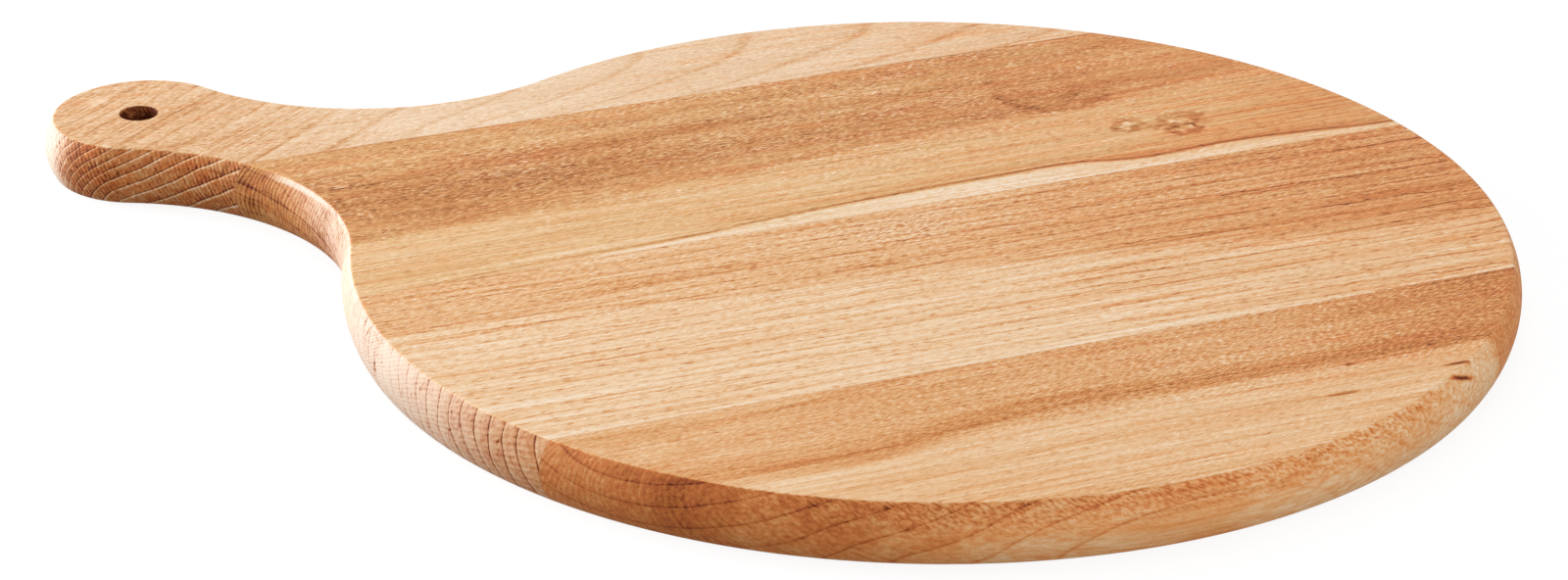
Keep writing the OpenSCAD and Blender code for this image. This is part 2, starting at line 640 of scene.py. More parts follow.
@dataclass(frozen=True)
class Studio:
    """A pale floor, a white surround and large soft lamps, the strongest of them from the left."""

    floor_size: float = 6.0
    floor_drop: float = 0.0002
    floor_glow: float = 1.09
    glow_share: float = 0.8
    dim_light: float = 0.40
    lamps: tuple[Softbox, ...] = (
        Softbox("left softbox", (-1.3, -0.10, 0.28), 0.8, 24.0),
        Softbox("ceiling softbox", (-0.2, 0.9, 1.9), 1.6, 13.0),
        Softbox("right softbox", (1.2, -1.0, 0.4), 0.9, 13.0),
    )

    def build(self) -> None:
        """Makes the floor, the surround and the lamps."""
        scene = bpy.context.scene
        scene.view_settings.view_transform = "Standard"
        mesh = bpy.data.meshes.new("floor")
        half = self.floor_size / 2
        corners = ((-half, -half), (half, -half), (half, half), (-half, half))
        mesh.from_pydata([(x, y, -self.floor_drop) for x, y in corners], [], [(0, 1, 2, 3)])
        mesh.materials.append(self.paper())
        floor = bpy.data.objects.new("floor", mesh)
        scene.collection.objects.link(floor)
        self.surround()
        for lamp in self.lamps:
            lamp.build()

    def paper(self) -> bpy.types.Material:
        """Writes white matt paper: it takes the soft shadow, and is white between shadows.

        Returns:
            The floor's material.
        """
        material = bpy.data.materials.new("matt white paper")
        material.use_nodes = True
        sheet = Sheet(material.node_tree)
        sheet.tree.nodes.clear()
        matt = sheet.add("BsdfDiffuse", {"Color": linear("#eeeeee")})
        glow = sheet.add("Math", [self.seen(sheet), self.floor_glow], operation="MULTIPLY")
        glow = sheet.add("Emission", {"Color": linear("#ffffff"), "Strength": glow})
        both = sheet.add("MixShader", [self.glow_share, matt, glow])
        sheet.add("OutputMaterial", [both], out=None)
        return material

    def seen(self, sheet: Sheet) -> object:
        """Tells the rays that see a surface from those that only carry its light.

        Args:
            sheet: the tree.

        Returns:
            1 for rays of the camera, of reflections and of clear parts, and 0 for others.
        """
        path = sheet.add("LightPath", out=None)
        seen = path["Is Camera Ray"]
        for name in ("Is Glossy Ray", "Is Transmission Ray"):
            seen = sheet.add("Math", [seen, path[name]], operation="MAXIMUM")
        return seen

    def surround(self) -> None:
        """Makes a surround that is white to the eye, and a dimmer even light on the object."""
        world = bpy.data.worlds.new("studio")
        bpy.context.scene.world = world
        world.use_nodes = True
        sheet = Sheet(world.node_tree)
        sheet.tree.nodes.clear()
        dim, white = [
            sheet.add("Background", {"Color": linear("#ffffff"), "Strength": strength})
            for strength in (self.dim_light, 1.0)
        ]
        both = sheet.add("MixShader", [self.seen(sheet), dim, white])
        sheet.add("OutputWorld", [both], out=None)


class Hue(Enum):
    """Which way the colour of a stave leans, as stops from its darkest to its palest wood."""

    TAN = (
        (0.0, "#5e2608"), (0.12, "#9a551b"), (0.25, "#b97539"), (0.4, "#cd9157"),
        (0.6, "#deb078"), (0.8, "#eac89f"), (1.0, "#f5dfc6"),
    )
    RED = (
        (0.0, "#5e2408"), (0.12, "#9e5622"), (0.25, "#bb7030"), (0.4, "#d18b4b"),
        (0.6, "#e2af7a"), (0.8, "#edcba4"), (1.0, "#f6e2cb"),
    )
    PALE = (
        (0.0, "#5e2a0c"), (0.12, "#a0602c"), (0.25, "#bd7d45"), (0.4, "#d19b64"),
        (0.6, "#e0b991"), (0.8, "#ecceae"), (1.0, "#f6e3cf"),
    )
    END = (
        (0.0, "#5c1e06"), (0.2, "#a9582a"), (0.4, "#cb753b"), (0.6, "#e29a5b"),
        (0.8, "#edc292"), (1.0, "#fbecdc"),
    )


@dataclass
class Grain(Sheet):
    """A wood's material that is being written, with its patterns and masks, all in millimetres.

    u, v and z are a point's places along the grain, across it and up from the underside, and side
    is 1 on the rim and 0 on the faces. The tone runs from 0, the darkest wood, to 1, the palest.
    """

    seed: float
    tone: object

    def __post_init__(self) -> None:
        """Finds the place in the wood, and which way the surface faces."""
        self.tree.nodes.clear()
        turned = {"Rotation": (0.0, 0.0, -GRAIN_ANGLE), "Scale": (1000.0,) * 3}
        turned["Vector"] = self.add("TexCoord", out="Object")
        self.place = self.add("Mapping", turned)
        self.u, self.v, self.z = self.add("SeparateXYZ", [self.place], out=None)
        self.normal = self.add("TexCoord", out="Normal")
        up = self.add("SeparateXYZ", [self.normal], out=2)
        self.side = self.from_to(self.add("Math", [up], operation="ABSOLUTE"), 0.95, 0.6)

    def fibres(self, long: float, wide: float, seed: float, place: object = None) -> object:
        """Makes a pattern that is drawn out along the grain.

        Args:
            long: usual length of a mark.
            wide: its usual width.
            seed: where the pattern is cut out of its noise.
            place: place in the wood, if it isn't the plain one.

        Returns:
            A value that swings about zero.
        """
        moved = {"Vector": place or self.place, "Scale": (1 / long, 1 / wide, 1 / wide)}
        moved["Location"] = (seed + self.seed, 3 * seed, 7 * seed)
        noise = {"Vector": self.add("Mapping", moved), "Scale": 1.0, "Detail": 2.0, "Roughness": 0.55}
        return self.add("Math", [self.add("TexNoise", noise), 0.5], operation="SUBTRACT")

    def course(self, places: list[tuple[float, float]]) -> object:
        """Draws a line that wanders along the stave.

        Args:
            places: points of the line, along and across the grain.

        Returns:
            The line's place across the grain.
        """
        reach = 200.0
        share = self.add("MapRange", [self.u, -reach, reach, 0.0, 1.0])
        points = [((u + reach) / (2 * reach), (v + reach) / (2 * reach)) for u, v in places]
        points = [(0.0, points[0][1]), *points, (1.0, points[-1][1])]
        bent = self.add("FloatCurve", {"Value": share}, points=points)
        return self.add("MapRange", [bent, 0.0, 1.0, -reach, reach])

    def from_to(self, value: object, low: float, high: float) -> object:
        """Gives 0 up to one value and 1 past another, blended softly between them."""
        return self.add("MapRange", [value, low, high, 0.0, 1.0], interpolation_type="SMOOTHSTEP")

    def above(self, across: object, line: object, soft: float) -> object:
        """Gives 1 on the back side of a line and 0 on its front side, blended over a width."""
        past = self.add("Math", [across, line], operation="SUBTRACT")
        return self.from_to(past, -soft, soft)

    def beside(self, across: object, line: object, wide: float) -> object:
        """Masks what is near a line.

        Args:
            across: the value that the line is a place of.
            line: the line's place.
            wide: how far from the line the mask ends.

        Returns:
            1 on the line, falling softly to 0.
        """
        past = self.add("Math", [across, line], operation="SUBTRACT")
        away = self.add("Math", [past], operation="ABSOLUTE")
        return self.add("MapRange", [away, 0.0, wide, 1.0, 0.0], interpolation_type="SMOOTHSTEP")

    def spot(
        self, place: tuple[float, float], size: tuple[float, float], deep: float = 9.0,
        height: float = TOP,
    ) -> object:
        """Measures how far a point is from a knot or a mark.

        Args:
            place: the mark's middle, along and across the grain.
            size: its half length and half width.
            deep: how far it reaches up and down.
            height: height of its middle above the underside.

        Returns:
            0 at its middle and 1 at its edge.
        """
        scale = (1 / size[0], 1 / size[1], 1 / deep)
        centre = (-place[0] / size[0], -place[1] / size[1], -height / deep)
        local = {"Vector": self.place, "Scale": scale, "Location": centre}
        return self.add("VectorMath", [self.add("Mapping", local)], operation="LENGTH", out="Value")

    def both(self, *masks: object) -> object:
        """Gives the overlap of masks.

        Args:
            masks: sockets or numbers.

        Returns:
            Their product.
        """
        overlap = masks[0]
        for mask in masks[1:]:
            overlap = self.add("Math", [overlap, mask], operation="MULTIPLY")
        return overlap

    def plus(self, value: object, change: object, gain: float) -> object:
        """Adds a change to a value."""
        return self.add("Math", [change, gain, value], operation="MULTIPLY_ADD")

    def lay(self, gain: float, *masks: object) -> None:
        """Lays a change into the tone where masks overlap, paler where the gain is above zero."""
        self.tone = self.plus(self.tone, self.both(*masks), gain)

    def round_pith(
        self, pith: tuple[float, float], wide: float, place: object = None
    ) -> tuple[object, object]:
        """Counts growth rings about the stem's middle line, and turns about it.

        Args:
            pith: the stem's middle, across the grain and up.
            wide: width of a ring.
            place: place in the wood, if it isn't the plain one.

        Returns:
            The count of rings, and a vector of the turn, the distance and the length along the
            grain that the rays follow.
        """
        place = place or self.place
        u, v, z = self.add("SeparateXYZ", [place], out=None)
        sway = self.fibres(90.0, 30.0, 11.0, place)
        across = self.plus(v, sway, 9.0)
        off = self.add("Math", [across, pith[0]], operation="SUBTRACT")
        rise = self.add("Math", [z, pith[1]], operation="SUBTRACT")
        flat = self.add("CombineXYZ", [off, rise, 0.0])
        away = self.add("VectorMath", [flat], operation="LENGTH", out="Value")
        turn = self.add("Math", [off, rise], operation="ARCTAN2")
        rings = self.add("Math", [away, wide], operation="DIVIDE")
        return rings, self.add("CombineXYZ", [turn, away, u])


# A growth ring's shade from one ring to the next, as shares of a ring's width: the soft shade of a
# ring on a face, the thin dark line of its late wood on the rim, and the pale line that follows it
RING_SHADE = (
    (0.0, 0.50), (0.03, 0.57), (0.5, 0.54), (0.82, 0.44), (0.92, 0.06), (0.95, 0.06), (0.98, 0.45),
    (1.0, 0.5),
)
LATE_LINE = ((0.0, 0.0), (0.45, 0.02), (0.86, 0.24), (0.92, 1.0), (0.95, 1.0), (0.985, 0.0), (1.0, 0.0))
EARLY_LINE = ((0.0, 1.0), (0.05, 1.0), (0.12, 0.2), (0.2, 0.0), (0.94, 0.0), (0.97, 0.3), (1.0, 1.0))


@dataclass(frozen=True)
class Beech:
    """Steamed beech, planed, sanded and thinly oiled.

    It gives the eye a warm tan ground with short fine flecks along the grain, thin darker growth
    rings that bend where the cut runs through them, and a dull satin gloss. Where the cutter went
    across the fibres it is deeper in colour, with fine rays square to the rings.
    """

    name: str
    slot: str
    hue: Hue = Hue.TAN
    # Tone of the ground, and strength of its dark flecks, long streaks and rings on a face
    tone: float = 0.7
    fleck: float = 0.30
    streak: float = 0.35
    ring: float = 0.30
    # Short slanting strokes: their strength, that of their pale sparks, their length and width in
    # millimetres, and their slant
    speckle: float = 0.5
    spark: float = 0.08
    stroke: tuple[float, float] = (1.8, 0.42)
    lean: float = math.radians(14.0)
    # The rim: its change of tone, strength of its ring lines, how many there are to a ring of the
    # face, strength of its rays and of its pale lines
    rim: float = -0.06
    rim_ring: float = 0.5
    rim_rings: float = 1.0
    hatch: float = 0.6
    pale_line: float = 0.0
    # How far the rim, and the whole stave, lean to the colours of oiled end grain
    oiled: float = 1.0
    warm: float = 0.0
    # Where the patterns are cut out of their noise
    seed: float = 0.0
    # How far the tone falls on end grain and where it is torn, and rises where glare is painted on the
    # rim
    end_grain: float = -0.16
    torn: float = -0.34
    glare_lift: float = 0.5
    # Share of the flecks and strokes that shows on the rim, and of the ring lines
    rim_fleck: float = 0.3
    rim_line: float = 0.35
    # Strength of the broad pale and dark clouds in the tone, and of the blotches of oil
    cloud: float = 0.22
    blotch: float = 1.8
    # Wood's usual IOR, and the dull gloss and shallow open pores of a sanded face with thin oil
    ior: float = 1.5
    sheen: float = 0.2
    roughness: float = 0.6
    pore_depth: float = 0.00015

    def rings(self, wood: Grain) -> tuple[object, object, float]:
        """Counts this stave's growth rings.

        Args:
            wood: the material's tree.

        Returns:
            The count of rings, the vector that the rays follow, and how many millimetres one
            unit of that vector's first part is.
        """
        raise NotImplementedError

    def figure(self, wood: Grain) -> None:
        """Lays this stave's own zones, lines and knots into the tone."""
        raise NotImplementedError

    def grit(self, wood: Grain) -> object:
        """Gives the strength of the short slanting strokes in each part of the stave."""
        return 1.0

    def painted_glare(self, wood: Grain) -> object:
        """Gives the share of painted glare, a pale chalky highlight, in each part of the rim."""
        return 0.0

    def inked(self, wood: Grain) -> object:
        """Gives the strength of the ring lines in each part of the rim."""
        return 1.0

    def end_cut(self, wood: Grain) -> object:
        """Masks the surfaces where the cutter went across the fibres.

        Args:
            wood: the material's tree.

        Returns:
            1 where the fibres end in the surface, and 0 where they lie in it.
        """
        way = (math.cos(GRAIN_ANGLE), math.sin(GRAIN_ANGLE), 0.0)
        facing = {0: wood.normal, 1: way}
        along = wood.add("VectorMath", facing, operation="DOT_PRODUCT", out="Value")
        return wood.from_to(wood.add("Math", [along], operation="ABSOLUTE"), 0.15, 0.85)

    def rays(self, wood: Grain, place: object, per_unit: float) -> object:
        """Makes the fine rays of end grain, which run square to the rings.

        Args:
            wood: the material's tree.
            place: the vector that they follow.
            per_unit: how many millimetres one unit of its first part is.

        Returns:
            A value that swings about zero.
        """
        # Real rays are finer than this, and are drawn as coarse as they need to show
        ray_gap, long, deep = 0.5, 3.0, 4.0
        # How fast the waves between the rays turn, in radians per millimetre
        waves = 5.2
        scale = (per_unit / ray_gap, 1 / long, 1 / deep)
        hatch = wood.add("Mapping", {"Vector": place, "Scale": scale})
        noise = wood.add("TexNoise", {"Vector": hatch, "Scale": 1.0, "Detail": 1.5})
        noise = wood.add("Math", [noise, 0.5], operation="SUBTRACT")
        turn = wood.both(wood.add("SeparateXYZ", [place], out=0), waves * per_unit)
        wave = wood.add("Math", [wood.plus(turn, noise, 3.0)], operation="SINE")
        return wood.plus(wood.both(noise, 0.4), wave, 0.08)

    def ring_lines(self, wood: Grain, count: object) -> None:
        """Lays the ring lines of the rim into the tone.

        Args:
            wood: the material's tree.
            count: the count of rings.
        """
        share = wood.add("Math", [wood.both(count, self.rim_rings)], operation="FRACT")
        inked = self.inked(wood)
        for points, gain in ((LATE_LINE, -self.rim_ring), (EARLY_LINE, self.pale_line)):
            line = wood.add("FloatCurve", {"Value": share}, points=points)
            wood.lay(gain, line, inked, wood.side)

    def material(self) -> bpy.types.Material:
        """Writes the whole material.

        Returns:
            The finish of one stave.
        """
        material = bpy.data.materials.new(self.name)
        material.use_nodes = True
        wood = Grain(material.node_tree, self.seed, self.tone)
        count, place, per_unit = self.rings(wood)
        cross = wood.both(wood.side, self.end_cut(wood))
        self.figure(wood)
        share = wood.add("Math", [count], operation="FRACT")
        shade = wood.add("FloatCurve", {"Value": share}, points=RING_SHADE)
        late = wood.add("Math", [shade, 0.5], operation="SUBTRACT")
        faded = [wood.side, 0.0, 1.0, self.ring, self.rim_line * self.ring]
        wood.lay(1.0, late, wood.add("MapRange", faded))
        # Patterns are given by the usual length and width of a mark, and by a seed
        wood.lay(self.streak, wood.fibres(50.0, 1.0, 21.0))
        wood.lay(self.cloud, wood.fibres(160.0, 7.0, 31.0))
        leaning = {"Vector": wood.place, "Rotation": (0.0, 0.0, -self.lean)}
        strokes = wood.fibres(*self.stroke, 41.0, wood.add("Mapping", leaning))
        grit = self.grit(wood)
        on_rim = wood.add("MapRange", [wood.side, 0.0, 1.0, 1.0, self.rim_fleck])
        wood.lay(self.speckle, strokes, grit, on_rim)
        wood.lay(self.spark, wood.from_to(strokes, 0.08, 0.2), grit)
        flecks = wood.both(wood.from_to(wood.fibres(3.4, 0.7, 51.0), 0.06, 0.16), on_rim)
        wood.lay(-self.fleck, flecks)
        rays = wood.both(self.rays(wood, place, per_unit), cross)
        wood.lay(self.hatch, rays)
        self.ring_lines(wood, count)
        wood.lay(self.end_grain, cross)
        wood.lay(self.torn, wood.add("Attribute", out="Fac", attribute_name="torn"))
        wood.lay(self.rim, wood.side)
        # Painted glare: the rim's tone raised where the left lamp grazes it
        painted_glare = wood.both(wood.side, self.painted_glare(wood))
        wood.lay(self.glare_lift, painted_glare)
        rough = wood.plus(wood.plus(self.roughness, strokes, 0.25), wood.side, 0.06)
        height = wood.both(flecks, -1.0)
        for relief, gain in ((strokes, 0.5), (rays, 2.0)):
            height = wood.plus(height, relief, gain)
        bump = wood.add("Bump", {"Height": height, "Distance": self.pore_depth, "Strength": 0.7})
        look = {"Base Color": self.colour(wood, painted_glare), "Roughness": rough, "Normal": bump}
        look.update({"IOR": self.ior, "Specular IOR Level": self.sheen})
        shader = wood.add("BsdfPrincipled", look)
        wood.add("OutputMaterial", [shader], out=None)
        return material

    def colour(self, wood: Grain, painted_glare: object) -> object:
        """Turns the tone into the wood's colour.

        Args:
            wood: the material's tree.
            painted_glare: the mask of painted glare on the rim.

        Returns:
            The colour: deeper where oil soaked in, and whitened with painted glare where the lamp grazes
                the rim.
        """
        face = wood.add("ValToRGB", {"Fac": wood.tone}, stops=self.hue.value)
        deep = wood.add("ValToRGB", {"Fac": wood.tone}, stops=Hue.END.value)
        share = wood.both(wood.side, self.oiled)
        right = wood.both(wood.from_to(wood.u, -60.0, 140.0), 0.6)
        share = wood.add("Math", [share, right], operation="MAXIMUM")
        share = wood.add("Math", [share, self.warm], operation="ADD")
        for clouds in (wood.fibres(60.0, 5.0, 37.0), wood.fibres(14.0, 1.5, 39.0)):
            share = wood.plus(share, clouds, self.blotch)
        oiled = wood.add("Mix", {0: share, 6: face, 7: deep}, data_type="RGBA", out=2)
        # Painted glare: a pale chalky colour mixed into the rim where it catches the left lamp
        glared = wood.both(painted_glare, wood.from_to(wood.tone, 0.1, 0.55))
        mixed = {0: glared, 6: oiled, 7: linear("#e9dcd0")}
        return wood.add("Mix", mixed, data_type="RGBA", out=2)


@dataclass(frozen=True)
class HandleBeech(Beech):
    """Pale beech with arched rings that close up towards the handle."""

    # Middle line of the arches across the grain, how fast they curve, how far a ring on the handle
    # runs along the grain for each millimetre across it, and how fast the rings close up
    middle: float = 147.0
    curve: float = 0.05
    slope: float = -1.33
    closing: float = 0.14

    def from_hole(self, wood: Grain) -> object:
        """Measures how far a point is from the line through the middle of the hanging hole.

        Args:
            wood: the material's tree.

        Returns:
            0 at the hole's middle and 1 at its wall, at every height.
        """
        radius = 1000.0 * BoardShape.hole_r
        reach = 1000.0 * (BoardShape.board_r + BoardShape.handle_l - BoardShape.hole_back)
        place = (-reach * math.cos(GRAIN_ANGLE), reach * math.sin(GRAIN_ANGLE))
        every_height = 4000.0
        return wood.spot(place, (radius, radius), every_height)

    def rings(self, wood: Grain) -> tuple[object, object, float]:
        """Counts rings that are cut at a slant, so that they open out in arches.

        Args:
            wood: the material's tree.

        Returns:
            The count of rings, the vector that the rays follow, and how many millimetres one
            unit of that vector's first part is.
        """
        sway = wood.fibres(40.0, 14.0, 13.0)
        off = wood.add("Math", [wood.v, self.middle], operation="SUBTRACT")
        arch = wood.add("Math", [off, off], operation="MULTIPLY")
        arched = wood.plus(wood.u, arch, self.curve)
        slanted = wood.plus(wood.u, off, self.slope)
        on_handle = wood.from_to(wood.u, -72.0, -112.0)
        run = wood.add("Mix", {0: on_handle, 2: arched, 3: slanted}, data_type="FLOAT")
        at_head = wood.add("MapRange", [wood.v, 132.0, 156.0, -3.15, -0.5])
        dip = wood.add("Mix", {0: on_handle, 2: self.slope, 3: at_head}, data_type="FLOAT")
        down = wood.add("Math", [wood.z, TOP], operation="SUBTRACT")
        run = wood.plus(run, wood.both(down, dip), 1.0)
        run = wood.plus(run, sway, 9.0)
        open_out = wood.plus(34.0, run, self.closing)
        safe = wood.add("Math", [open_out, 4.0], operation="MAXIMUM")
        log_run = wood.add("Math", [safe, math.e], operation="LOGARITHM")
        count = wood.plus(0.56, log_run, 1 / self.closing)
        # The way in the wood that the rays of the end grain stand square to
        way = {0: wood.place, 1: (0.652, -0.602, 0.461)}
        slant = wood.add("VectorMath", way, operation="DOT_PRODUCT", out="Value")
        deep = wood.add("Math", [run, 0.3], operation="MULTIPLY")
        rays = wood.add("CombineXYZ", [slant, deep, 0.0])
        return count, rays, 1.0

    def figure(self, wood: Grain) -> None:
        """Makes the handle browner, the middle of the stave paler and the hole's wall dark, partly
        scorched by the drill and partly painted shade in the bore.

        Args:
            wood: the material's tree.
        """
        wood.lay(-0.20, wood.from_to(wood.u, -95.0, -160.0))
        # Hole's wall darkened: scorched end grain and painted shade inside the bore
        wood.lay(-0.44, wood.from_to(self.from_hole(wood), 1.09, 1.03))
        wood.lay(-0.045, wood.from_to(wood.u, -80.0, -20.0))
        across = wood.plus(wood.u, wood.v, self.slope)
        across = wood.add("CombineXYZ", [wood.v, across, wood.z])
        lines = wood.fibres(40.0, 1.2, 15.0, across)
        on_handle = wood.from_to(wood.u, -80.0, -130.0)
        wood.lay(0.34, lines, on_handle)
        lines = wood.from_to(lines, -0.06, -0.14)
        wood.lay(-0.09, lines, on_handle)
        wood.lay(-0.08, wood.side, wood.from_to(wood.u, -174.0, -184.0))
        spot = wood.spot((-176.0, 166.5), (3.2, 2.6))
        wood.lay(0.22, wood.from_to(spot, 1.3, 0.3))

    def painted_glare(self, wood: Grain) -> object:
        """Paints glare on the tip of the handle, which faces the left lamp, and a little on its back
        side.

        Args:
            wood: the material's tree.

        Returns:
            How much painted glare each part has, from 0 to 1.
        """
        # Painted highlight: the tip whitened as the left lamp's glare
        tip = wood.both(wood.from_to(wood.v, 139.0, 152.0), wood.from_to(wood.u, -172.0, -181.0), 0.8)
        # Painted paleness that follows the handle's line, and rises towards its back side
        behind = wood.plus(wood.v, wood.u, math.tan(GRAIN_ANGLE))
        behind = wood.both(wood.from_to(behind, 2.0, 26.0), 0.3)
        return wood.add("Math", [tip, behind], operation="MAXIMUM")

    def inked(self, wood: Grain) -> object:
        """Keeps the ring lines off the hole's wall, and fades them behind the round part."""
        outside = wood.from_to(self.from_hole(wood), 1.05, 1.4)
        return wood.both(outside, wood.add("MapRange", [wood.u, -70.0, -120.0, 0.35, 1.0]))

    def grit(self, wood: Grain) -> object:
        """Makes the strokes stronger on the handle."""
        return wood.add("MapRange", [wood.u, -150.0, -60.0, 1.3, 0.9])


@dataclass(frozen=True)
class InnerBackBeech(Beech):
    """Brown heartwood with a swirl, two knots and a thin strip of sapwood along one joint."""

    def rings(self, wood: Grain) -> tuple[object, object, float]:
        """Counts rings that lie nearly flat in the board.

        Args:
            wood: the material's tree.

        Returns:
            The count of rings, the vector that the rays follow, and how many millimetres one
            unit of that vector's first part is.
        """
        count, rays = wood.round_pith((130.0, -120.0), 3.6)
        wave = wood.fibres(130.0, 22.0, 17.0)
        return wood.plus(count, wave, 3.0), rays, 140.0

    def figure(self, wood: Grain) -> None:
        """Lays in the heartwood, the sapwood strip, the swirl and the knots.

        Args:
            wood: the material's tree.
        """
        # Heartwood between two wandering edges, with the paler wood around it
        ragged = wood.plus(wood.v, wood.fibres(26.0, 2.4, 61.0), 10.0)
        edge = wood.course([(-150, 48), (-60, 54), (0, 58), (60, 61), (100, 66), (145, 72)])
        heart = wood.above(ragged, edge, 4.0)
        deep = wood.add("MapRange", [wood.u, 75.0, 130.0, -0.22, -0.12])
        wood.lay(1.0, heart, deep)
        wood.lay(-0.06, wood.from_to(wood.u, 85.0, 135.0))
        top = wood.course([
            (-150, 80), (-120, 84), (-80, 88), (-50, 92), (-20, 98), (20, 106), (60, 125),
        ])
        wood.lay(0.04, wood.above(ragged, top, 5.0))
        pale = wood.from_to(heart, 1.0, 0.0)
        wood.lay(0.5, wood.fibres(120.0, 0.9, 63.0), pale)
        wood.lay(-0.04, pale, wood.from_to(wood.u, 20.0, 90.0))
        wood.lay(0.30, wood.fibres(45.0, 9.0, 71.0), heart)
        wood.lay(-0.10, wood.from_to(wood.u, -20.0, -100.0), wood.beside(ragged, 72.0, 22.0))
        # Thin dark vein, with the sapwood in front of it and a gold and a pale line behind it
        vein = wood.course([
            (-150, 17), (-100, 21), (-60, 22), (-30, 25), (0, 27), (30, 28), (55, 28), (70, 25),
            (100, 26), (145, 22),
        ])
        sap = wood.from_to(wood.above(wood.v, wood.plus(vein, -1.0, 1.4), 0.8), 1.0, 0.0)
        wood.lay(0.20, sap, wood.from_to(wood.u, -95.0, -70.0))
        gold = wood.beside(wood.v, wood.plus(vein, 1.0, 2.4), 2.6)
        wood.lay(-0.10, gold, wood.from_to(wood.u, -75.0, -45.0))
        upper = wood.beside(wood.v, wood.plus(vein, 1.0, 2.9), 1.7)
        stretch = wood.both(wood.from_to(wood.u, -118.0, -95.0), wood.from_to(wood.u, -45.0, -75.0))
        wood.lay(0.17, upper, stretch)
        darker = wood.add("MapRange", [wood.u, -110.0, -30.0, 0.5, 1.0])
        wood.lay(-0.38, wood.beside(wood.v, vein, 1.1), darker)
        # Swirl, dusky spots and knots, all with crumbled edges
        torn = wood.fibres(4.0, 3.0, 91.0)
        swirl = wood.plus(wood.spot((69.0, 77.0), (15.5, 15.5), 60.0), torn, 0.5)
        lower_left = wood.both(wood.from_to(wood.u, 92.0, 72.0), wood.from_to(wood.v, 92.0, 80.0))
        for reach, wide, gain in ((1.0, 0.14, -0.13), (0.9, 0.3, -0.07), (0.5, 0.2, -0.06)):
            wood.lay(gain, wood.beside(swirl, reach, wide), lower_left)
        dusky = (((66.0, 88.5), (4.2, 2.4)), ((54.5, 87.5), (3.6, 2.2)), ((74.0, 71.0), (6.0, 3.4)))
        for place, size in dusky:
            away = wood.plus(wood.spot(place, size), torn, 1.2)
            wood.lay(-0.10, wood.from_to(away, 1.2, 0.3))
        crumbs = wood.fibres(2.2, 1.8, 93.0)
        knots = (((77.5, 45.5), (4.4, 3.4)), ((92.0, 43.5), (6.0, 4.2)), ((91.0, 38.0), (4.0, 3.2)))
        for place, size in knots:
            away = wood.plus(wood.spot(place, size), torn, 2.0)
            near = wood.from_to(away, 1.1, 0.5)
            wood.lay(-0.30, wood.beside(away, 0.9, 0.7))
            wood.lay(1.2, near, crumbs)
            wood.lay(0.09, near)
        # Rim beside the neck, with two ring lines and a dusky spot
        left_end = wood.from_to(wood.u, -60.0, -120.0)
        wood.lay(-0.08, wood.side, wood.from_to(wood.v, 96.0, 58.0), left_end)
        neck = wood.both(wood.side, wood.from_to(wood.u, -110.0, -125.0))
        falling = wood.add("Math", [wood.v, 0.148, -5.0], operation="MULTIPLY_ADD")
        for lower, wide, gain in ((0.0, 0.55, -0.24), (-4.4, 0.45, -0.14)):
            line = wood.beside(wood.z, wood.plus(falling, 1.0, lower), wide)
            wood.lay(gain, line, neck)
        wood.lay(0.07, wood.beside(wood.v, 91.0, 16.0), neck)
        dusk = wood.from_to(wood.spot((-152.0, 105.0), (9.0, 5.0), 4.0, 4.5), 1.2, 0.2)
        wood.lay(-0.14, dusk, neck)
        # Painted shade: a thin dark line along the joint with the handle stave, on its right half
        wood.lay(-0.25, wood.beside(wood.v, 109.8, 0.9), wood.from_to(wood.u, 0.0, 40.0))

    def painted_glare(self, wood: Grain) -> object:
        """Paints glare on the far end of the neck, which faces the left lamp, and a highlight along its
        eased top edge.

        Args:
            wood: the material's tree.

        Returns:
            How much painted glare each part has, from 0 to 1.
        """
        left = wood.from_to(wood.u, -60.0, -120.0)
        low = wood.plus(wood.v, wood.z, -1.2)
        low = wood.both(wood.from_to(low, 86.0, 54.0), 0.62)
        # Painted highlight: a thin pale line where the eased top edge catches the light
        edge = wood.both(wood.from_to(wood.z, 14.0, 15.0), wood.from_to(wood.v, 106.0, 92.0), 0.75)
        return wood.both(left, wood.add("Math", [low, edge], operation="MAXIMUM"))

    def grit(self, wood: Grain) -> object:
        """Makes the strokes stronger in the heartwood.

        Args:
            wood: the material's tree.

        Returns:
            The strength, where 1 is the usual one.
        """
        heart = wood.add("MapRange", [wood.v, 40.0, 70.0, 0.45, 1.0])
        cloudy = wood.plus(1.0, wood.fibres(24.0, 5.0, 65.0), 2.2)
        right = wood.add("MapRange", [wood.u, 50.0, 110.0, 1.0, 0.6])
        return wood.both(heart, right, cloudy)


